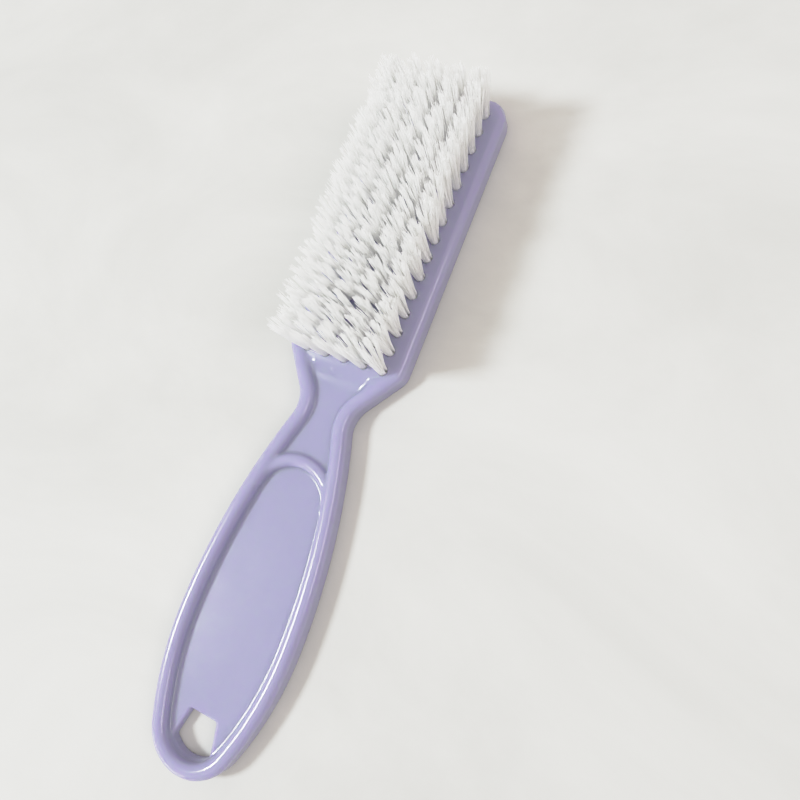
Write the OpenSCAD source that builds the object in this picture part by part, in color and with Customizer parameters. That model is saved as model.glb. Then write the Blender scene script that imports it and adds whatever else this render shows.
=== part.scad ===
// Acrylic nail dust brush: a one-piece moulded handle and head with
// a field of nylon tufts, each held in its blind hole by a metal anchor.
// The back lies flat at z = 0, the tufts point along +Z and the tip
// of the head points along +X. The origin is under the middle.

/* [Handle outline] */
// Length from the hanging end to the tip of the head, mm
overall_l = 180; // [178:0.5:182]
// Width of the handle at its widest point, mm
grip_w = 32.6; // [31:0.2:34.4]
// Where the handle is widest, mm behind the middle of the brush
widest_x = 54.7; // [53:0.1:56]
// Radius of the handle's side towards the hanging end, mm
end_side_r = 78; // [75:1:84]
// Radius of the handle's side towards the neck, mm
neck_side_r = 170; // [164:1:178]
// Width of the neck at its narrowest point, mm
neck_w = 15.2; // [14.4:0.1:16.4]
// Radius of the hollow on each side of the neck, mm
neck_r = 8; // [7:0.5:9]
// Angle of the shoulders between the neck and the head, degrees
shoulder_a = 36; // [33:1:39]
// Radius of the rounded corner at the top of each shoulder, mm
shoulder_r = 5.5; // [5:0.5:6]

/* [Head] */
// Width of the head, mm
head_w = 32.6; // [31.6:0.2:34]
// Thickness of the head and height of the rim, mm
head_t = 6; // [5.5:0.1:6.5]
// Radius of the two corners at the tip, mm
tip_r = 6; // [5:0.5:7]
// Length of the slope from the neck floor up to the head, mm
ramp_l = 3.5; // [2.5:0.5:4]

/* [Rim and floors] */
// Width of the raised rim round the handle, mm
rim_w = 4; // [3.6:0.1:4.4]
// Thickness of the thumb panel, mm
panel_t = 3.2; // [2.6:0.1:3.6]
// Thickness of the neck floor, mm
neck_t = 3.8; // [3.2:0.1:4]
// Width of the arched rib between the thumb panel and the neck, mm
rib_w = 3.4; // [3:0.1:3.6]
// Height of the arched rib, mm
rib_h = 5.4; // [5:0.1:5.5]
// Furthest point of the thumb panel towards the neck, mm behind the middle
panel_end = 14; // [13:0.5:16]

/* [Hanging hole] */
// Width of the hole along its straight edge, mm
hole_w = 7.6; // [6:0.2:8]
// Straight edge of the hole, mm from the hanging end
hole_top = 14; // [13:0.5:15]
// Angle of the hole's sides, degrees
hole_a = 13; // [9:1:15]

/* [Tufts] */
// Distance between tuft rows along the head, mm
row_pitch = 5; // [4.8:0.05:5]
// Distance between tufts across the head, mm
tuft_pitch = 5.4; // [5:0.05:5.5]
// Distance from the tip of the head to the first row, mm
tip_margin = 4.8; // [4.4:0.1:5.2]
// Diameter of the tuft holes, mm
hole_d = 2.6; // [2.4:0.1:2.8]
// Depth of the tuft holes, mm
hole_depth = 4.6; // [4.2:0.1:4.8]
// Free length of the tufts, mm
tuft_l = 17.5; // [16:0.5:20]
// Diameter of a tuft at its cut end, mm
tuft_top_d = 4.5; // [3.6:0.1:4.7]
// Outward lean of the two outermost columns of tufts, degrees
tuft_lean = 3; // [0:1:6]

/* [Anchors] */
// Length of the anchor across its hole, mm
anchor_l = 3.2; // [3.1:0.1:3.4]
// Thickness of the anchor strip, mm
anchor_t = 0.45; // [0.35:0.05:0.5]
// Height of the anchor strip, mm
anchor_h = 1.6; // [1.4:0.1:1.8]

/* [Hidden] */
$fn = 96;

rows = 15;
columns = 5;
half_l = overall_l / 2;
half_grip = grip_w / 2;
half_neck = neck_w / 2;
half_head = head_w / 2;
edge_r = rim_w / 2;
rib_r = rib_w / 2;
bottom_chamfer = 0.5;
floor_inset = rim_w * 0.75;
panel_inset = 0.2;
ramp_reach = 2.6;
merge = 1;
overlap = 0.3;
trim = 0.03;

// Centres of the two big side arcs (for the side with positive y)
side_x = -widest_x;
end_side_y = half_grip - end_side_r;
neck_side_y = half_grip - neck_side_r;

// Round hanging end, tangent to the end side arcs
end_d = half_l - widest_x;
end_r = (pow(end_side_r, 2) - pow(end_side_y, 2) - pow(end_d, 2)) / (2 * (end_side_r - end_d));
end_x = end_r - half_l;
end_a = atan2(-end_side_y, end_x - side_x);

// Hollow beside the neck, tangent to the neck side arc
hollow_y = half_neck + neck_r;
hollow_x = side_x + sqrt(pow(neck_side_r + neck_r, 2) - pow(hollow_y - neck_side_y, 2));
hollow_a = atan2(hollow_y - neck_side_y, hollow_x - side_x);

// Shoulder corner, tangent to the shoulder line and to the head's side
corner_y = half_head - shoulder_r;
corner_rise = corner_y - hollow_y + (shoulder_r + neck_r) * cos(shoulder_a);
corner_x = hollow_x + (shoulder_r + neck_r) * sin(shoulder_a) + corner_rise / tan(shoulder_a);
shoulder_l = corner_rise / sin(shoulder_a);
shoulder_start = [hollow_x + neck_r * sin(shoulder_a), hollow_y - neck_r * cos(shoulder_a)];

// Arched rib, its inner edge all but tangent to the inner edge of the rim
inner_side_r = neck_side_r - rim_w;
arch_d = widest_x - panel_end;
arch_r = (pow(inner_side_r, 2) - pow(neck_side_y, 2) - pow(arch_d, 2)) / (2 * (inner_side_r - arch_d));
arch_x = -panel_end - arch_r;
arch_a = atan2(-neck_side_y, arch_x - side_x);
rib_bite = 0.1;

// Least distance between the hanging hole and the inner foot of the rim
hole_web = 0.3;

// Rows of tufts and the start of the full head thickness
head_lead = 0.7;
first_row_x = half_l - tip_margin;
last_row_x = first_row_x - (rows - 1) * row_pitch;
head_start = last_row_x - hole_d / 2 - head_lead;
hole_floor = head_t - hole_depth;

// Height of the anchors over the floors of their holes
anchor_lift = 0.8;
anchor_z = hole_floor + anchor_lift;

// A tuft fills its hole but for a hair, and starts to fan out below the mouth
tuft_play = 0.04;
tuft_d = hole_d - tuft_play;
collar_h = 0.2;
waist_step = 0.56;
waist_d = tuft_d - waist_step;
fan_start = 1;

// X position of a row, counted from the tip
function row_x(row) = first_row_x - (row - 1) * row_pitch;

// Y position of a tuft, counted from the side with negative y
function tuft_y(column) = (column - (columns + 1) / 2) * tuft_pitch;

// Section of the free-standing rim: half-round top, chamfered outer foot.
// Every second length is trimmed a hair, so its neighbours close over its ends.
module rim_section(cut) {
    half = edge_r - cut;
    translate([0, head_t - edge_r]) circle(r = half);
    polygon([
        [-half, 0],
        [half - bottom_chamfer, 0],
        [half, bottom_chamfer],
        [half, head_t - edge_r],
        [-half, head_t - edge_r],
    ]);
}

// Section of the head's edge: flat top inside, quarter-round outside
module head_section(cut) {
    half = edge_r - cut;
    translate([0, head_t - edge_r]) circle(r = half);
    polygon([
        [-edge_r, 0],
        [half - bottom_chamfer, 0],
        [half, bottom_chamfer],
        [half, head_t - edge_r],
        [0, head_t - edge_r],
        [0, head_t],
        [-edge_r, head_t],
    ]);
}

// Section of the arched rib
module rib_section() {
    translate([0, rib_h - rib_r]) circle(r = rib_r);
    translate([-rib_r, 0]) square([rib_w, rib_h - rib_r]);
}

// Angle that lengthens an arc of the given radius by the closing overlap
function overlap_a(radius) = overlap / radius * 180 / PI;

// Bends the section given as child round a centre, from one angle to another
module bend(centre, radius, from, to) {
    translate([centre[0], centre[1], 0])
        rotate([0, 0, from])
            rotate_extrude(angle = to - from)
                translate([radius, 0])
                    children();
}

// The same, lengthened at both ends to close over its neighbours
module long_bend(centre, radius, from, to) {
    bend(centre, radius, from - overlap_a(radius), to + overlap_a(radius)) children();
}

// Runs the section given as child straight from a point in one direction,
// lengthened at both ends to close over its neighbours
module long_run(start, direction, length) {
    translate([start[0], start[1], 0])
        rotate([0, 0, direction])
            translate([-overlap, 0, 0])
                rotate([90, 0, 90])
                    linear_extrude(height = length + 2 * overlap)
                        children();
}

// Rim of the handle from the hanging end to the shoulders
module handle_rim() {
    long_bend([end_x, 0], end_r - edge_r, end_a, 360 - end_a) rim_section(0);
    for (side = [0, 1]) {
        mirror([0, side, 0]) {
            bend([side_x, end_side_y], end_side_r - edge_r, 90, end_a) rim_section(trim);
            long_bend([side_x, neck_side_y], neck_side_r - edge_r, hollow_a, 90) rim_section(0);
            bend([hollow_x, hollow_y], neck_r + edge_r, hollow_a + 180, shoulder_a + 270)
                mirror([1, 0]) rim_section(trim);
            long_run(shoulder_start, shoulder_a, shoulder_l)
                translate([-edge_r, 0]) rim_section(0);
        }
    }
}

// Edge of the head from the shoulders round the tip
module head_edge() {
    for (side = [0, 1]) {
        mirror([0, side, 0]) {
            bend([corner_x, corner_y], shoulder_r - edge_r, 90, 90 + shoulder_a) head_section(trim);
            long_run([corner_x, half_head - edge_r], 0, half_l - tip_r - corner_x) head_section(0);
            bend([half_l - tip_r, half_head - tip_r], tip_r - edge_r, 0, 90) head_section(trim);
        }
    }
    long_run([half_l - edge_r, half_head - tip_r], -90, head_w - 2 * tip_r) head_section(0);
}

// Half-plane strip used to cut the floor outline into lengths
module strip(from, to) {
    translate([from, -half_grip]) square([to - from, grip_w]);
}

// Thumb panel: floor inside the rim, from the hanging end to the arch
module thumb_panel() {
    linear_extrude(height = panel_t) {
        translate([end_x, 0]) circle(r = end_r - floor_inset - panel_inset);
        intersection() {
            translate([side_x, end_side_y]) circle(r = end_side_r - floor_inset);
            translate([side_x, -end_side_y]) circle(r = end_side_r - floor_inset);
            strip(end_x - merge, side_x);
        }
        intersection() {
            translate([side_x, neck_side_y]) circle(r = neck_side_r - floor_inset);
            translate([side_x, -neck_side_y]) circle(r = neck_side_r - floor_inset);
            strip(side_x, arch_x);
        }
        translate([arch_x, 0]) circle(r = arch_r + merge);
    }
}

// Neck floor between the arch and the head, with the slope up to the head
module neck_floor() {
    inner_r = neck_side_r - floor_inset;
    start = [side_x + inner_r * cos(arch_a), neck_side_y + inner_r * sin(arch_a)];
    waist = [side_x + inner_r * cos(hollow_a), neck_side_y + inner_r * sin(hollow_a)];
    rise = [
        hollow_x + (neck_r + floor_inset) * sin(shoulder_a),
        hollow_y - (neck_r + floor_inset) * cos(shoulder_a),
    ];
    top = [head_start + merge, rise[1] + (head_start + merge - rise[0]) * tan(shoulder_a)];
    linear_extrude(height = neck_t) {
        difference() {
            polygon([
                [start[0], -start[1]], [waist[0], -waist[1]], [rise[0], -rise[1]], [top[0], -top[1]],
                top, rise, waist, start,
            ]);
            translate([arch_x, 0]) circle(r = arch_r + merge / 2);
        }
    }
    translate([0, rise[1] + ramp_reach, 0])
        rotate([90, 0, 0])
            linear_extrude(height = 2 * (rise[1] + ramp_reach))
                polygon([
                    [head_start - ramp_l - merge, 0],
                    [head_start + merge / 2, 0],
                    [head_start + merge / 2, head_t],
                    [head_start, head_t],
                    [head_start - ramp_l, neck_t],
                    [head_start - ramp_l - merge, neck_t],
                ]);
}

// Solid middle of the head
module head_slab() {
    side_y = half_head - floor_inset;
    tip_x = half_l - floor_inset;
    line_y = shoulder_start[1] + (head_start - shoulder_start[0]) * tan(shoulder_a);
    start_y = line_y - floor_inset / cos(shoulder_a);
    corner = [
        corner_x - (shoulder_r - floor_inset) * sin(shoulder_a),
        corner_y + (shoulder_r - floor_inset) * cos(shoulder_a),
    ];
    linear_extrude(height = head_t)
        polygon([
            [head_start, -start_y], [corner[0], -corner[1]], [corner_x, -side_y],
            [tip_x - merge, -side_y], [tip_x, merge - side_y],
            [tip_x, side_y - merge], [tip_x - merge, side_y],
            [corner_x, side_y], corner, [head_start, start_y],
        ]);
}

// Hanging hole: straight edge, spreading sides and a round bottom
module hanging_hole() {
    length = 2 * end_r;
    spread = hole_w / 2 + length * tan(hole_a);
    straight_x = hole_top - half_l;
    translate([0, 0, -merge])
        linear_extrude(height = panel_t + 2 * merge)
            intersection() {
                translate([end_x, 0]) circle(r = end_r - rim_w - hole_web);
                polygon([
                    [straight_x, -hole_w / 2], [straight_x, hole_w / 2],
                    [straight_x - length, spread], [straight_x - length, -spread],
                ]);
            }
}

// One anchor strip, lying across its hole near the hole's floor
module anchor(row, column) {
    translate([row_x(row), tuft_y(column), anchor_z + anchor_h / 2])
        cube([anchor_t, anchor_l, anchor_h], center = true);
}

// Blind holes for the tufts with the slots that their anchors bite
module tuft_holes() {
    for (row = [1 : rows]) {
        for (column = [1 : columns]) {
            translate([row_x(row), tuft_y(column), hole_floor])
                cylinder(d = hole_d, h = hole_depth + merge);
            anchor(row, column);
        }
    }
}

module handle() {
    color([0.7, 0.68, 0.86]) {
        difference() {
            union() {
                handle_rim();
                head_edge();
                bend([arch_x, 0], arch_r + rib_r + rib_bite, -arch_a, arch_a) rib_section();
                thumb_panel();
                neck_floor();
                head_slab();
            }
            hanging_hole();
            tuft_holes();
        }
    }
}

// One tuft: packed straight in its hole, fanning out to its cut end
module tuft(row, column) {
    middle = (columns + 1) / 2;
    lean_side = tuft_lean * (column - middle) / (middle - 1);
    difference() {
        union() {
            translate([row_x(row), tuft_y(column), hole_floor])
                cylinder(d = tuft_d, h = hole_depth + collar_h);
            translate([row_x(row), tuft_y(column), head_t - fan_start])
                rotate([-lean_side, 0, 0])
                    cylinder(d1 = waist_d, d2 = tuft_top_d, h = tuft_l + fan_start);
        }
        anchor(row, column);
    }
}

module tuft_row(row) {
    color([0.95, 0.95, 0.93]) {
        for (column = [1 : columns]) {
            tuft(row, column);
        }
    }
}

module anchor_row(row) {
    color([0.8, 0.78, 0.7]) {
        for (column = [1 : columns]) {
            anchor(row, column);
        }
    }
}

module tuft_row_01() { tuft_row(1); }
module tuft_row_02() { tuft_row(2); }
module tuft_row_03() { tuft_row(3); }
module tuft_row_04() { tuft_row(4); }
module tuft_row_05() { tuft_row(5); }
module tuft_row_06() { tuft_row(6); }
module tuft_row_07() { tuft_row(7); }
module tuft_row_08() { tuft_row(8); }
module tuft_row_09() { tuft_row(9); }
module tuft_row_10() { tuft_row(10); }
module tuft_row_11() { tuft_row(11); }
module tuft_row_12() { tuft_row(12); }
module tuft_row_13() { tuft_row(13); }
module tuft_row_14() { tuft_row(14); }
module tuft_row_15() { tuft_row(15); }

module anchor_row_01() { anchor_row(1); }
module anchor_row_02() { anchor_row(2); }
module anchor_row_03() { anchor_row(3); }
module anchor_row_04() { anchor_row(4); }
module anchor_row_05() { anchor_row(5); }
module anchor_row_06() { anchor_row(6); }
module anchor_row_07() { anchor_row(7); }
module anchor_row_08() { anchor_row(8); }
module anchor_row_09() { anchor_row(9); }
module anchor_row_10() { anchor_row(10); }
module anchor_row_11() { anchor_row(11); }
module anchor_row_12() { anchor_row(12); }
module anchor_row_13() { anchor_row(13); }
module anchor_row_14() { anchor_row(14); }
module anchor_row_15() { anchor_row(15); }

handle();
tuft_row_01();
tuft_row_02();
tuft_row_03();
tuft_row_04();
tuft_row_05();
tuft_row_06();
tuft_row_07();
tuft_row_08();
tuft_row_09();
tuft_row_10();
tuft_row_11();
tuft_row_12();
tuft_row_13();
tuft_row_14();
tuft_row_15();
anchor_row_01();
anchor_row_02();
anchor_row_03();
anchor_row_04();
anchor_row_05();
anchor_row_06();
anchor_row_07();
anchor_row_08();
anchor_row_09();
anchor_row_10();
anchor_row_11();
anchor_row_12();
anchor_row_13();
anchor_row_14();
anchor_row_15();
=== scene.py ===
"""Acrylic nail dust brush on a pale table, seen from above."""

from math import atan2, cos, hypot, pi, radians, sin, sqrt, tan

import bpy
import numpy as np
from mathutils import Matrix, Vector


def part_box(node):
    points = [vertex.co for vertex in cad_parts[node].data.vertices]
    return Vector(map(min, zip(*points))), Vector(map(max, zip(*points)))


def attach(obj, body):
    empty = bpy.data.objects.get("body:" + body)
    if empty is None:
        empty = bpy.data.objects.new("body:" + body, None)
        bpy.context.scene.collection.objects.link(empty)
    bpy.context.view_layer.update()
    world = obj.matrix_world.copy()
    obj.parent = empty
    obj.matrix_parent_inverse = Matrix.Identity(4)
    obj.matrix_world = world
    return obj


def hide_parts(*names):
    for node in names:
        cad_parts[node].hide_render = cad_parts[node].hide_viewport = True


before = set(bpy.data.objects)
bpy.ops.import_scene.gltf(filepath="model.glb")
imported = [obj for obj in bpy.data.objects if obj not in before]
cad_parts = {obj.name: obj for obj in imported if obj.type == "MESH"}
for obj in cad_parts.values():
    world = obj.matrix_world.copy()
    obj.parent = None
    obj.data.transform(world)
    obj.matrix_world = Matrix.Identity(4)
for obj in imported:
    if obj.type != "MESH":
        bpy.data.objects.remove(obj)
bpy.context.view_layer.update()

MM = 0.001
ROWS = 15
COLUMNS = 5

# ---------------------------------------------------------------- sizes, mm
# The handle's and the head's own sizes. The ends and the tuft grid come from
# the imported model.
low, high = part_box("handle")
HALF_L = (high.x - low.x) / 2 / MM
HALF_GRIP = 32.6 / 2
HALF_HEAD = 32.6 / 2
HALF_NECK = 15.2 / 2
TOP = (high.z - low.z) / MM
WIDEST_X = -54.7
END_SIDE_R = 78.0
NECK_SIDE_R = 170.0
NECK_R = 8.0
SHOULDER_A = radians(36)
SHOULDER_R = 5.5
TIP_R = 6.0
RIM_W = 4.0
PANEL_T = 3.2
NECK_T = 3.8
RIB_W = 3.4
RIB_H = 5.4
PANEL_END = 14.0
RAMP_L = 3.5
HOLE_W = 7.6
HOLE_TOP = 14.0
HOLE_A = radians(13)
HOLE_WEB = 0.3
TUFT_HOLE_R = 1.3
TUFT_HOLE_DEPTH = 4.6
ANCHOR_L = 3.2
ANCHOR_T = 0.45
ANCHOR_LIFT = 0.8
HEAD_LEAD = 0.7
TUFT_FLOOR = TOP - TUFT_HOLE_DEPTH
ANCHOR_Z = TUFT_FLOOR + ANCHOR_LIFT
TUFT_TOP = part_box("tuft_row_08")[1].z / MM

# Half the width of the flat on top of a half-round wall
RIDGE_FLAT = 0.08
# How softly the moulding's parts run into each other and how round its edges are
FLOOR_JOIN = 0.4
RIM_JOIN = 0.8
HEAD_JOIN = 1.5
SLOPE_EDGE = 1.6
BACK_EDGE = 0.9
HOLE_CORNER = 0.6
HOLE_EDGE = 0.8
TUFT_HOLE_EDGE = 0.35
# Distance of the floors' hidden edge from the outline, and how far the neck floor
# runs on inside the head
FLOOR_EDGE = 0.6 * RIM_W
NECK_RUN_ON = 3

# Low bumps left by the mould on the slope to the head: place (x, y), radius, height
MOULD_MARKS = [(12.0, 7.4, 0.6, 0.08), (11.3, 2.0, 0.6, 0.08), (11.8, -8.6, 0.6, 0.08)]


def anchor_centre(row):
    a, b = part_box("anchor_row_%02d" % row)
    return (a + b) / 2 / MM


FIRST_X = anchor_centre(1).x
LAST_X = anchor_centre(ROWS).x
ROW_PITCH = (FIRST_X - LAST_X) / (ROWS - 1)
row_low, row_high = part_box("anchor_row_01")
TUFT_PITCH = ((row_high.y - row_low.y) / MM - ANCHOR_L) / (COLUMNS - 1)
HEAD_START = LAST_X - TUFT_HOLE_R - HEAD_LEAD

# Arcs of the outline, for the side with positive y
END_SIDE_Y = HALF_GRIP - END_SIDE_R
NECK_SIDE_Y = HALF_GRIP - NECK_SIDE_R
END_D = HALF_L + WIDEST_X
END_R = (END_SIDE_R**2 - END_SIDE_Y**2 - END_D**2) / (2 * (END_SIDE_R - END_D))
END_X = END_R - HALF_L
END_A = atan2(-END_SIDE_Y, END_X - WIDEST_X)
HOLLOW_Y = HALF_NECK + NECK_R
HOLLOW_X = WIDEST_X + sqrt((NECK_SIDE_R + NECK_R) ** 2 - (HOLLOW_Y - NECK_SIDE_Y) ** 2)
HOLLOW_A = atan2(HOLLOW_Y - NECK_SIDE_Y, HOLLOW_X - WIDEST_X)
CORNER_Y = HALF_HEAD - SHOULDER_R
CORNER_RISE = CORNER_Y - HOLLOW_Y + (SHOULDER_R + NECK_R) * cos(SHOULDER_A)
CORNER_X = HOLLOW_X + (SHOULDER_R + NECK_R) * sin(SHOULDER_A) + CORNER_RISE / tan(SHOULDER_A)
SHOULDER_L = CORNER_RISE / sin(SHOULDER_A)
SHOULDER_X = HOLLOW_X + NECK_R * sin(SHOULDER_A)
SHOULDER_Y = HOLLOW_Y - NECK_R * cos(SHOULDER_A)
INNER_R = NECK_SIDE_R - RIM_W
ARCH_D = -WIDEST_X - PANEL_END
ARCH_R = (INNER_R**2 - NECK_SIDE_Y**2 - ARCH_D**2) / (2 * (INNER_R - ARCH_D))
ARCH_X = -PANEL_END - ARCH_R
ARCH_A = atan2(-NECK_SIDE_Y, ARCH_X - WIDEST_X)
# The neck floor lies outside the arch and begins past its centre
NECK_START = ARCH_X + 3


# ------------------------------------------------- distance fields, all in mm
def smooth_min(a, b, k):
    h = np.maximum(k - np.abs(a - b), 0) / np.maximum(k, 1e-6)
    return np.minimum(a, b) - h * h * k / 4


def smooth_max(a, b, k):
    return -smooth_min(-a, -b, k)


def smooth_step(lo, hi, v):
    t = np.clip((v - lo) / (hi - lo), 0, 1)
    return t * t * (3 - 2 * t)


def arc_distance(x, y, centre, radius, a, b):
    """Distance to the arc from angle a to angle b."""
    dx, dy = x - centre[0], y - centre[1]
    along = np.mod(np.arctan2(dy, dx) - a, 2 * pi) <= b - a
    ends = [
        np.hypot(x - centre[0] - radius * cos(t), y - centre[1] - radius * sin(t)) for t in (a, b)
    ]
    return np.where(along, np.abs(np.hypot(dx, dy) - radius), np.minimum(*ends))


def line_distance(x, y, start, direction, length):
    """Distance to the straight piece from start that runs at the angle direction."""
    dx, dy = x - start[0], y - start[1]
    t = np.clip(dx * cos(direction) + dy * sin(direction), 0, length)
    return np.hypot(dx - t * cos(direction), dy - t * sin(direction))


def half_width(x):
    """Half the width of the outline at x."""
    w = np.sqrt(np.maximum(END_R**2 - (x - END_X) ** 2, 0))
    side = END_SIDE_Y + np.sqrt(np.maximum(END_SIDE_R**2 - (x - WIDEST_X) ** 2, 0))
    w = np.where(x > END_X + END_R * cos(END_A), side, w)
    side = NECK_SIDE_Y + np.sqrt(np.maximum(NECK_SIDE_R**2 - (x - WIDEST_X) ** 2, 0))
    w = np.where(x > WIDEST_X, side, w)
    hollow = HOLLOW_Y - np.sqrt(np.maximum(NECK_R**2 - (x - HOLLOW_X) ** 2, 0))
    w = np.where(x > HOLLOW_X - NECK_R * cos(HOLLOW_A), hollow, w)
    w = np.where(x > SHOULDER_X, SHOULDER_Y + (x - SHOULDER_X) * tan(SHOULDER_A), w)
    corner = CORNER_Y + np.sqrt(np.maximum(SHOULDER_R**2 - (x - CORNER_X) ** 2, 0))
    w = np.where(x > CORNER_X - SHOULDER_R * sin(SHOULDER_A), corner, w)
    w = np.where(x > CORNER_X, HALF_HEAD, w)
    tip = HALF_HEAD - TIP_R + np.sqrt(np.maximum(TIP_R**2 - (x - HALF_L + TIP_R) ** 2, 0))
    w = np.where(x > HALF_L - TIP_R, tip, w)
    return np.where(np.abs(x) < HALF_L, w, 0)


def outline_distance(x, y):
    """Signed distance to the outline seen from above, negative inside."""
    y = np.abs(y)
    parts = [
        arc_distance(x, y, (END_X, 0), END_R, END_A, pi + 0.3),
        arc_distance(x, y, (WIDEST_X, END_SIDE_Y), END_SIDE_R, pi / 2, END_A),
        arc_distance(x, y, (WIDEST_X, NECK_SIDE_Y), NECK_SIDE_R, HOLLOW_A, pi / 2),
        arc_distance(
            x, y, (HOLLOW_X, HOLLOW_Y), NECK_R, HOLLOW_A + pi, SHOULDER_A + 1.5 * pi
        ),
        line_distance(x, y, (SHOULDER_X, SHOULDER_Y), SHOULDER_A, SHOULDER_L),
        arc_distance(x, y, (CORNER_X, CORNER_Y), SHOULDER_R, pi / 2, pi / 2 + SHOULDER_A),
        line_distance(x, y, (CORNER_X, HALF_HEAD), 0, HALF_L - TIP_R - CORNER_X),
        arc_distance(x, y, (HALF_L - TIP_R, HALF_HEAD - TIP_R), TIP_R, 0, pi / 2),
        line_distance(x, y, (HALF_L, HALF_HEAD - TIP_R), -pi / 2, HALF_HEAD),
    ]
    d = parts[0]
    for p in parts[1:]:
        d = np.minimum(d, p)
    return np.where(y < half_width(x), -d, d)


def plan_fields(x, y):
    """Everything about a point that depends only on its place seen from above."""
    d = outline_distance(x, y)
    arch = np.hypot(x - ARCH_X, y)
    straight_x = HOLE_TOP - HALF_L
    hole = smooth_max(
        x - straight_x,
        (np.abs(y) - HOLE_W / 2 - (straight_x - x) * tan(HOLE_A)) * cos(HOLE_A),
        HOLE_CORNER,
    )
    round_end = np.hypot(x - END_X, y) - (END_R - RIM_W - HOLE_WEB)
    hole = smooth_max(hole, round_end, HOLE_CORNER)
    row = np.clip(np.round((FIRST_X - x) / ROW_PITCH), 0, ROWS - 1)
    column = np.clip(np.round(y / TUFT_PITCH), -(COLUMNS // 2), COLUMNS // 2)
    tuft = np.hypot(x - FIRST_X + row * ROW_PITCH, y - column * TUFT_PITCH) - TUFT_HOLE_R
    marks = sum(h * np.exp(-((x - a) ** 2 + (y - b) ** 2) / r**2) for a, b, r, h in MOULD_MARKS)
    return d, arch, hole, tuft, marks


def ridge(across, width, z, height):
    """Signed distance to a wall that is half-round on top; across is 0 in its middle."""
    r = width / 2 - RIDGE_FLAT
    q1, q2 = np.abs(across) - width / 2 + r, z - height + r
    return np.minimum(np.maximum(q1, q2), 0) + np.hypot(np.maximum(q1, 0), np.maximum(q2, 0)) - r


def moulding(fields, x, z):
    """Signed distance to the one-piece handle and head, near enough for meshing."""
    d, arch, hole, tuft, marks = fields
    rim = ridge(d + RIM_W / 2, RIM_W, z, TOP)
    # Thumb panel and neck floor
    core = d + FLOOR_EDGE
    panel = np.maximum(core, z - PANEL_T)
    neck = np.maximum(np.maximum(ARCH_R + RIB_W / 2 - arch, NECK_START - x), z - NECK_T)
    neck = np.maximum(np.maximum(neck, core), x - HEAD_START - NECK_RUN_ON)
    floor = smooth_min(panel, neck, FLOOR_JOIN)
    # Arched rib, cut off where it meets the rim
    rib = ridge(arch - ARCH_R - RIB_W / 2, RIB_W, z, RIB_H)
    rib = np.maximum(rib, ARCH_X + ARCH_R * cos(ARCH_A) - x)
    # Head, with the slope up to it
    slope = (TOP - NECK_T) / RAMP_L
    ramp = (z - NECK_T - (x - HEAD_START + RAMP_L) * slope) / sqrt(1 + slope**2)
    head = smooth_max(np.maximum(d + RIM_W / 2, z - TOP), ramp, SLOPE_EDGE)
    raised = smooth_min(rim, rib, RIM_JOIN)
    body = smooth_min(raised, floor, RIM_JOIN)
    near = HEAD_JOIN * (1 - smooth_step(HEAD_START - HEAD_JOIN, HEAD_START + HEAD_JOIN, x))
    # The bumps are on the upper side only
    body = smooth_min(body, head, near) - marks * smooth_step(2, 4, z)
    # Softened bottom edge, hanging hole and tuft holes
    body = smooth_max(body, -z, BACK_EDGE)
    body = smooth_max(body, -hole, HOLE_EDGE)
    pit = np.maximum(tuft, TUFT_FLOOR - z)
    return smooth_max(body, -pit, TUFT_HOLE_EDGE)


def field(p):
    return moulding(plan_fields(p[:, 0], p[:, 1]), p[:, 0], p[:, 2])


def gradient(p, step=0.02):
    g = np.empty_like(p)
    for axis in range(3):
        e = np.zeros(3)
        e[axis] = step
        g[:, axis] = (field(p + e) - field(p - e)) / (2 * step)
    return g


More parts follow.
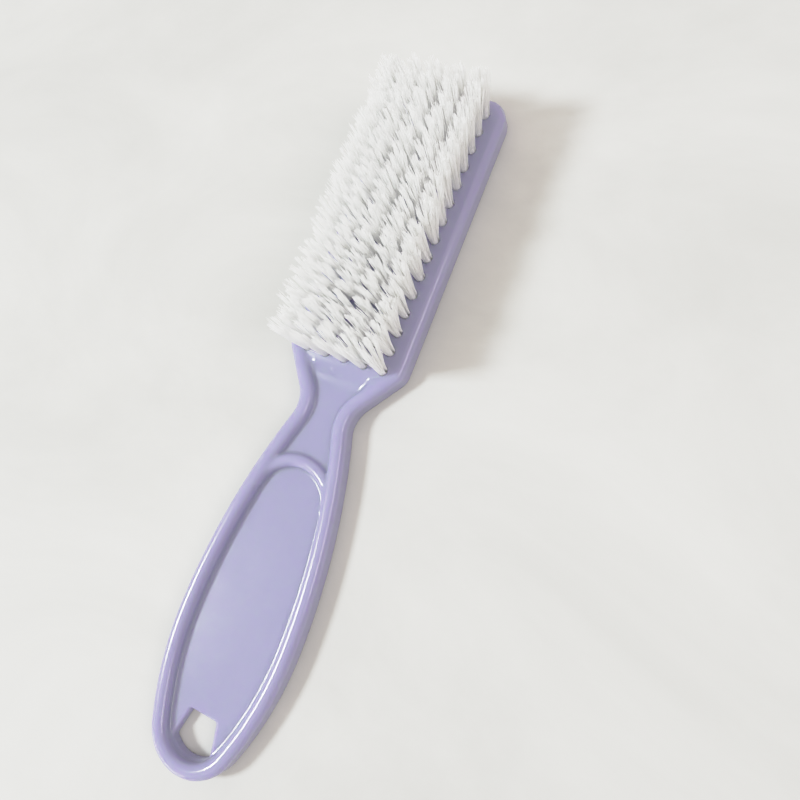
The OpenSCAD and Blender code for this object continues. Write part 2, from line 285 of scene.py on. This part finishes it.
def moulding_mesh(cell):
    """Closed quad mesh on the field's zero surface, with the field's own normals."""
    xs = np.arange(-HALF_L - 2 * cell, HALF_L + 2 * cell, cell)
    ys = np.arange(-HALF_GRIP - 2 * cell, HALF_GRIP + 2 * cell, cell)
    zs = np.arange(-1.37 * cell, TOP + 2 * cell, cell)
    gx, gy = np.meshgrid(xs, ys, indexing="ij")
    fields = [f[:, :, None] for f in plan_fields(gx, gy)]
    f = moulding(fields, gx[:, :, None], zs[None, None, :])
    inside = f < 0
    nx, ny, nz = f.shape
    total = np.zeros((nx - 1, ny - 1, nz - 1, 3))
    count = np.zeros((nx - 1, ny - 1, nz - 1))
    corner = [slice(0, -1), slice(1, None)]
    for axis in range(3):
        others = [a for a in range(3) if a != axis]
        for i in (0, 1):
            for j in (0, 1):
                lo, hi = [None] * 3, [None] * 3
                lo[axis], hi[axis] = corner[0], corner[1]
                lo[others[0]] = hi[others[0]] = corner[i]
                lo[others[1]] = hi[others[1]] = corner[j]
                fa, fb = f[tuple(lo)], f[tuple(hi)]
                cross = (fa < 0) != (fb < 0)
                t = np.where(cross, fa / np.where(cross, fa - fb, 1), 0)
                total[..., axis] += np.where(cross, t, 0)
                total[..., others[0]] += np.where(cross, i, 0)
                total[..., others[1]] += np.where(cross, j, 0)
                count += cross
    used = count > 0
    index = -np.ones(used.shape, int)
    index[used] = np.arange(used.sum())
    cells = np.argwhere(used)
    offset = total[used] / count[used][:, None]
    verts = np.array([xs[0], ys[0], zs[0]]) + (cells + offset) * cell
    faces = []
    for axis in range(3):
        u, v = [(1, 2), (2, 0), (0, 1)][axis]
        lo, hi = [slice(None)] * 3, [slice(None)] * 3
        lo[axis], hi[axis] = slice(0, -1), slice(1, None)
        a, b = inside[tuple(lo)], inside[tuple(hi)]
        edges = np.argwhere(a != b)
        keep = (edges[:, u] > 0) & (edges[:, v] > 0)
        keep &= (edges[:, u] < f.shape[u] - 1) & (edges[:, v] < f.shape[v] - 1)
        edges = edges[keep]
        eu, ev = np.zeros(3, int), np.zeros(3, int)
        eu[u] = 1
        ev[v] = 1
        ring = [edges - eu - ev, edges - ev, edges, edges - eu]
        quad = np.stack([index[tuple(r.T)] for r in ring], 1)
        flip = ~inside[tuple(edges.T)]
        quad[flip] = quad[flip][:, ::-1]
        faces.append(quad)
    faces = np.vstack(faces)
    for _ in range(4):
        g = gradient(verts)
        size = np.maximum((g * g).sum(1), 0.05)
        move = g * (field(verts) / size)[:, None]
        length = np.linalg.norm(move, axis=1)
        verts -= move * np.minimum(1, 0.5 * cell / np.maximum(length, 1e-9))[:, None]
    g = gradient(verts)
    normals = g / np.maximum(np.linalg.norm(g, axis=1), 1e-9)[:, None]
    return verts, faces, normals


# ------------------------------------------------------------------ materials
def new_material(name):
    m = bpy.data.materials.new(name)
    m.use_nodes = True
    return m, m.node_tree, m.node_tree.nodes["Principled BSDF"]


def node(tree, kind, **values):
    n = tree.nodes.new(kind)
    for k, v in values.items():
        if k in n.inputs:
            n.inputs[k].default_value = v
        else:
            setattr(n, k, v)
    return n


def ramp_node(tree, source, stops):
    n = tree.nodes.new("ShaderNodeValToRGB")
    tree.links.new(source, n.inputs[0])
    for i, (pos, colour) in enumerate(stops):
        e = n.color_ramp.elements[i] if i < 2 else n.color_ramp.elements.new(pos)
        e.position = pos
        e.color = (*colour, 1)
    return n.outputs[0]


def stretched(tree, scale):
    """Object coordinates stretched by scale."""
    coords = tree.nodes.new("ShaderNodeTexCoord")
    m = tree.nodes.new("ShaderNodeMapping")
    m.inputs["Scale"].default_value = scale
    tree.links.new(coords.outputs["Object"], m.inputs["Vector"])
    return m.outputs[0]


def plastic():
    m, t, b = new_material("lilac_gloss_plastic")
    flow = node(t, "ShaderNodeTexNoise", Scale=60.0, Detail=3.0, Roughness=0.5)
    t.links.new(stretched(t, (0.5, 1.5, 1.5)), flow.inputs["Vector"])
    colour = ramp_node(
        t, flow.outputs["Fac"], [(0.3, (0.300, 0.294, 0.441)), (0.7, (0.312, 0.306, 0.456))]
    )
    t.links.new(colour, b.inputs["Base Color"])
    haze = node(t, "ShaderNodeTexNoise", Scale=220.0, Detail=4.0, Roughness=0.6)
    t.links.new(stretched(t, (1, 1, 1)), haze.inputs["Vector"])
    rough = node(t, "ShaderNodeMapRange")
    rough.inputs["To Min"].default_value = 0.12
    rough.inputs["To Max"].default_value = 0.20
    t.links.new(haze.outputs["Fac"], rough.inputs["Value"])
    t.links.new(rough.outputs[0], b.inputs["Roughness"])
    peel = node(t, "ShaderNodeTexNoise", Scale=350.0, Detail=2.0)
    t.links.new(stretched(t, (1, 1, 1)), peel.inputs["Vector"])
    bump = node(t, "ShaderNodeBump", Strength=0.03, Distance=0.0001)
    t.links.new(peel.outputs["Fac"], bump.inputs["Height"])
    t.links.new(bump.outputs[0], b.inputs["Normal"])
    b.inputs["IOR"].default_value = 1.5
    b.inputs["Subsurface Weight"].default_value = 1.0
    b.inputs["Subsurface Radius"].default_value = (1.25, 0.8, 1.45)
    b.inputs["Subsurface Scale"].default_value = 0.003
    return m


def nylon():
    m, t, b = new_material("white_nylon_filament")
    strands = node(t, "ShaderNodeTexNoise", Scale=900.0, Detail=2.0)
    t.links.new(stretched(t, (1, 1, 0.15)), strands.inputs["Vector"])
    colour = ramp_node(
        t, strands.outputs["Fac"], [(0.3, (0.985, 0.988, 0.98)), (0.7, (0.996, 0.996, 0.99))]
    )
    t.links.new(colour, b.inputs["Base Color"])
    b.inputs["Roughness"].default_value = 0.35
    b.inputs["IOR"].default_value = 1.5
    return m


def anchor_metal():
    m, t, b = new_material("anchor_strip_metal")
    grain = node(t, "ShaderNodeTexNoise", Scale=1500.0, Detail=3.0)
    t.links.new(stretched(t, (1, 0.1, 1)), grain.inputs["Vector"])
    colour = ramp_node(
        t, grain.outputs["Fac"], [(0.3, (0.62, 0.61, 0.58)), (0.7, (0.72, 0.71, 0.68))]
    )
    t.links.new(colour, b.inputs["Base Color"])
    b.inputs["Metallic"].default_value = 1.0
    b.inputs["Roughness"].default_value = 0.35
    return m


def table_material():
    m, t, b = new_material("pale_table")
    soft = node(t, "ShaderNodeTexNoise", Scale=16.0, Detail=6.0, Roughness=0.62, Distortion=0.6)
    t.links.new(stretched(t, (1, 0.6, 1)), soft.inputs["Vector"])
    colour = ramp_node(
        t, soft.outputs["Fac"], [(0.30, (0.512, 0.511, 0.480)), (0.70, (0.646, 0.644, 0.607))]
    )
    t.links.new(colour, b.inputs["Base Color"])
    fine = node(t, "ShaderNodeTexNoise", Scale=70.0, Detail=5.0, Roughness=0.6)
    t.links.new(stretched(t, (1, 0.5, 1)), fine.inputs["Vector"])
    bump = node(t, "ShaderNodeBump", Strength=0.3, Distance=0.001)
    t.links.new(fine.outputs["Fac"], bump.inputs["Height"])
    t.links.new(bump.outputs[0], b.inputs["Normal"])
    b.inputs["Roughness"].default_value = 0.8
    return m


PLASTIC = plastic()
NYLON = nylon()
ANCHOR = anchor_metal()


# --------------------------------------------------------------------- pieces
def mesh_object(name, verts, faces, material, normals=None, smooth=True):
    """Object from arrays in mm, moved to metres."""
    me = bpy.data.meshes.new(name)
    verts = np.asarray(verts, float) * MM
    faces = np.asarray(faces, np.int32)
    me.vertices.add(len(verts))
    me.vertices.foreach_set("co", verts.ravel())
    me.loops.add(faces.size)
    me.loops.foreach_set("vertex_index", faces.ravel())
    me.polygons.add(len(faces))
    me.polygons.foreach_set("loop_start", np.arange(0, faces.size, faces.shape[1], dtype=np.int32))
    me.polygons.foreach_set("use_smooth", np.full(len(faces), smooth))
    me.update(calc_edges=True)
    me.validate()
    if normals is not None:
        me.normals_split_custom_set_from_vertices([tuple(n) for n in normals])
    me.materials.append(material)
    o = bpy.data.objects.new(name, me)
    bpy.context.scene.collection.objects.link(o)
    return o


FULL_CELL = 0.36
verts, faces, normals = moulding_mesh(FULL_CELL)
handle = mesh_object("handle_moulding", verts, faces, PLASTIC, normals)
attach(handle, "root")
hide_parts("handle")

# Bristles. Each filament is folded in the middle under its tuft's anchor.
FILAMENT_R = 0.078
FILAMENT_GAP = 0.164
WALL_PLAY = 0.03
ANCHOR_PLAY = 0.02
PACK_R = TUFT_HOLE_R - FILAMENT_R - WALL_PLAY
LEG_POINTS = 9
FOLD_POINTS = 5
CLUMPS = 9
# Share of the way that filaments are drawn to their clump, the clumps' cut above or
# below the mean height, scatter of single tips, sideways sway, share of stray filaments
CLUMP_PULL = (0.2, 0.62)
CLUMP_CUT = (-1.1, 0.3)
TIP_SCATTER = 0.17
SWAY = 0.07
STRAY_SHARE = 0.05
# How far a tuft's rim fans out at the tips, along and across the head
TIP_FAN = np.array([2.75, 2.9])
# Lean of all tufts, more lean for each column away from the middle (stronger on the
# side with negative y), and the lean along the head of single rows, in degrees
COMMON_LEAN = (radians(-1.0), radians(-3.1))
SPREAD_LEAN = radians(1.0)
NEGATIVE_Y_SPREAD = 1.6
ROW_LEAN = {1: -3.5, 2: -1.5, 3: -0.5, ROWS - 1: 1.0, ROWS: 3.0}
rng = np.random.default_rng(4127)


def packed_offsets():
    """Feet of one tuft's filaments on the +x side of the anchor strip, in mm from its axis."""
    start = ANCHOR_T / 2 + FILAMENT_R + ANCHOR_PLAY
    lines = np.arange(start + rng.uniform(0, 0.04), PACK_R, FILAMENT_GAP * sqrt(3) / 2)
    shift = rng.uniform(0, FILAMENT_GAP)
    out = []
    for i, x in enumerate(lines):
        for y in np.arange(-PACK_R + shift + (i % 2) * FILAMENT_GAP / 2, PACK_R, FILAMENT_GAP):
            if hypot(x, y) < PACK_R:
                out.append((x, y))
    return np.array(out)


def leg_paths(feet, clumps, lean, top):
    """Free legs from the anchor's height up to their cut ends."""
    n = len(feet)
    radial = feet / PACK_R
    want = radial * TIP_FAN
    near = np.argmin(((want[:, None] - clumps[None]) ** 2).sum(2), 1)
    pull = rng.uniform(*CLUMP_PULL, n)[:, None]
    tip = want * (1 - pull) + clumps[near] * pull + rng.normal(0, TIP_SCATTER, (n, 2))
    clump_cut = rng.uniform(*CLUMP_CUT, len(clumps))
    cut = clump_cut[near] + rng.normal(0, 0.28, n).clip(-0.9, 0.5)
    stray = rng.random(n) < STRAY_SHARE
    tip[stray] *= rng.uniform(1.1, 1.4, (stray.sum(), 1))
    cut[stray] -= rng.uniform(0.3, 1.8, stray.sum())
    end_z = top + cut
    t = np.linspace(0, 1, LEG_POINTS)[None, :]
    bottom = ANCHOR_Z - 0.05
    z = bottom + (end_z[:, None] - bottom) * t
    above = np.clip((z - TOP + 0.3) / (top - TOP), 0, None)
    ease = 0.85 * above + 0.15 * above**1.4
    xy = feet[:, None, :] + (tip - feet)[:, None, :] * ease[:, :, None]
    xy = xy + (np.tan(lean) * (top - TOP))[None, None, :] * (above**1.15)[:, :, None]
    sway = rng.normal(0, SWAY, (n, 2))
    xy = xy + sway[:, None, :] * np.sin(pi * np.clip(above, 0, 1))[:, :, None]
    return np.concatenate([xy, z[:, :, None]], 2)


def tubes(paths, radius):
    """Four-sided closed tubes along paths of shape (count, points, 3)."""
    n, m, _ = paths.shape
    tangent = np.gradient(paths, axis=1)
    tangent /= np.linalg.norm(tangent, axis=2, keepdims=True)
    side = np.array([0.0, 1.0, 0.0]) - tangent * tangent[..., 1:2]
    side /= np.linalg.norm(side, axis=2, keepdims=True)
    other = np.cross(tangent, side)
    angle = (np.arange(4) + 0.5) * pi / 2
    taper = np.ones(m)
    taper[[0, -1]] = 0.6
    r = (radius[:, None] * taper)[:, :, None, None]
    ring = paths[:, :, None, :] + r * (
        side[:, :, None, :] * np.cos(angle)[:, None] + other[:, :, None, :] * np.sin(angle)[:, None]
    )
    base = (np.arange(n) * m * 4)[:, None, None]
    i = (np.arange(m - 1) * 4)[None, :, None]
    k = np.arange(4)[None, None, :]
    a, b = base + i + k, base + i + (k + 1) % 4
    walls = np.stack([a, b, b + 4, a + 4], -1).reshape(-1, 4)
    first = (np.arange(n) * m * 4)[:, None] + np.array([3, 2, 1, 0])[None]
    last = (np.arange(n) * m * 4 + (m - 1) * 4)[:, None] + np.arange(4)[None]
    return ring.reshape(-1, 3), np.vstack([walls, first, last])


def tuft_paths(x, y, column, row):
    """Every filament of one tuft: down one side of the anchor, under it and up again."""
    feet = packed_offsets()
    turn = rng.uniform(0, 2 * pi)
    ring = turn + np.arange(CLUMPS) * 2.4 + rng.normal(0, 0.2, CLUMPS)
    reach = np.sqrt((np.arange(CLUMPS) + 0.5) / CLUMPS) * rng.uniform(0.85, 1.1, CLUMPS)
    clumps = np.stack([reach * np.cos(ring), reach * np.sin(ring)], 1) * TIP_FAN
    along = COMMON_LEAN[0] + radians(ROW_LEAN.get(row, 0.0))
    across = COMMON_LEAN[1] + SPREAD_LEAN * column * (NEGATIVE_Y_SPREAD if column < 0 else 1)
    lean = np.array([along, across]) + rng.normal(0, radians(0.9), 2)
    top = TUFT_TOP + rng.uniform(-0.25, 0.15)
    near = leg_paths(feet, clumps, lean, top)
    far = leg_paths(feet * (-1, 1), clumps, lean, top)
    # Fold under the anchor, the outer filaments deepest
    u = np.linspace(0, pi, FOLD_POINTS + 2)[1:-1][None, :]
    a, b = near[:, 0], far[:, 0]
    drop = (ANCHOR_Z - TUFT_FLOOR - FILAMENT_R - 0.1) * (0.25 + 0.75 * feet[:, 0] / PACK_R)
    fold = np.stack(
        [
            (a[:, 0:1] + b[:, 0:1]) / 2 + (a[:, 0:1] - b[:, 0:1]) / 2 * np.cos(u),
            np.broadcast_to(a[:, 1:2], (len(a), FOLD_POINTS)),
            a[:, 2:3] - drop[:, None] * np.sin(u),
        ],
        2,
    )
    return np.concatenate([near[:, ::-1], fold, far], 1) + np.array([x, y, 0.0])


for row in range(1, ROWS + 1):
    place = anchor_centre(row)
    paths = np.concatenate(
        [
            tuft_paths(place.x, column * TUFT_PITCH, column, row)
            for column in range(-(COLUMNS // 2), COLUMNS // 2 + 1)
        ]
    )
    thick = FILAMENT_R * rng.uniform(0.9, 1.08, len(paths))
    bristles = mesh_object("bristles_row_%02d" % row, *tubes(paths, thick), NYLON, smooth=False)
    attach(bristles, "root")
    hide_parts("tuft_row_%02d" % row)
    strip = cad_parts["anchor_row_%02d" % row]
    strip.data.materials.clear()
    strip.data.materials.append(ANCHOR)


# ---------------------------------------------------------------------- stage
def floor_mesh():
    """Flat table top, 3.2 m square, in mm, with finer faces near the brush."""
    n = 161
    line = np.linspace(-1, 1, n)
    line = np.sign(line) * np.abs(line) ** 2.2 * 1600
    gx, gy = np.meshgrid(line, line, indexing="ij")
    verts = np.stack([gx, gy, np.full_like(gx, -0.02)], 2).reshape(-1, 3)
    i, j = np.meshgrid(np.arange(n - 1), np.arange(n - 1), indexing="ij")
    a = (i * n + j).ravel()
    return verts, np.stack([a, a + n, a + n + 1, a + 1], 1)


table = mesh_object("table", *floor_mesh(), table_material())


def soft_light(name, place, size, watts, colour):
    """Rectangular light at place, aimed at the brush."""
    data = bpy.data.lights.new(name, "AREA")
    data.shape = "RECTANGLE"
    data.size, data.size_y = size
    data.energy = watts
    data.color = colour
    o = bpy.data.objects.new(name, data)
    o.location = place
    o.rotation_euler = (-Vector(place)).to_track_quat("-Z", "Y").to_euler()
    bpy.context.scene.collection.objects.link(o)


soft_light("window", (-0.60, 1.24, 1.45), (0.35, 0.35), 33.0, (0.93, 1.0, 1.02))
soft_light("room_side", (0.15, -1.20, 1.15), (0.90, 0.60), 8.0, (1.0, 0.93, 0.93))
soft_light("low_window", (-1.65, 1.00, 0.38), (1.10, 0.20), 5.5, (1.0, 1.0, 1.0))

# Room light: brighter overhead than near the horizon
world = bpy.data.worlds.new("room")
world.use_nodes = True
sky = world.node_tree
up = sky.nodes.new("ShaderNodeSeparateXYZ")
sky.links.new(sky.nodes.new("ShaderNodeTexCoord").outputs["Generated"], up.inputs[0])
gain = node(sky, "ShaderNodeMapRange")
gain.inputs["To Min"].default_value = 0.33
gain.inputs["To Max"].default_value = 0.80
sky.links.new(up.outputs["Z"], gain.inputs["Value"])
sky.links.new(gain.outputs[0], sky.nodes["Background"].inputs["Strength"])
sky.nodes["Background"].inputs["Color"].default_value = (1.0, 0.94, 0.915, 1)
bpy.context.scene.world = world

look = bpy.context.scene.view_settings
look.view_transform = "Standard"
# Camera response: lifted middle tones and a soft shoulder, up to twice the white level
look.use_curve_mapping = True
look.curve_mapping.white_level = (2.0, 2.0, 2.0)
response = look.curve_mapping.curves[3]
RESPONSE = [(0.125, 0.31), (0.2, 0.463), (0.3, 0.665), (0.4, 0.775), (0.55, 0.86)]
for light_in, light_out in RESPONSE:
    response.points.new(light_in, light_out)
look.curve_mapping.update()

# --------------------------------------------------------------------- camera
camera_data = bpy.data.cameras.new("camera")
camera_data.sensor_width = 36.0
camera_data.lens = 29.93
camera_data.clip_start = 0.005
camera_data.clip_end = 20.0
camera = bpy.data.objects.new("camera", camera_data)
camera.location = (-0.0065, -0.07198, 0.15262)
camera.rotation_euler = [radians(a) for a in (13.152, 16.592, -67.537)]
bpy.context.scene.collection.objects.link(camera)
bpy.context.scene.camera = camera

# White filaments pass light on many times before it leaves the tufts
cycles = bpy.context.scene.cycles
cycles.max_bounces = 24
cycles.diffuse_bounces = 24
cycles.glossy_bounces = 8
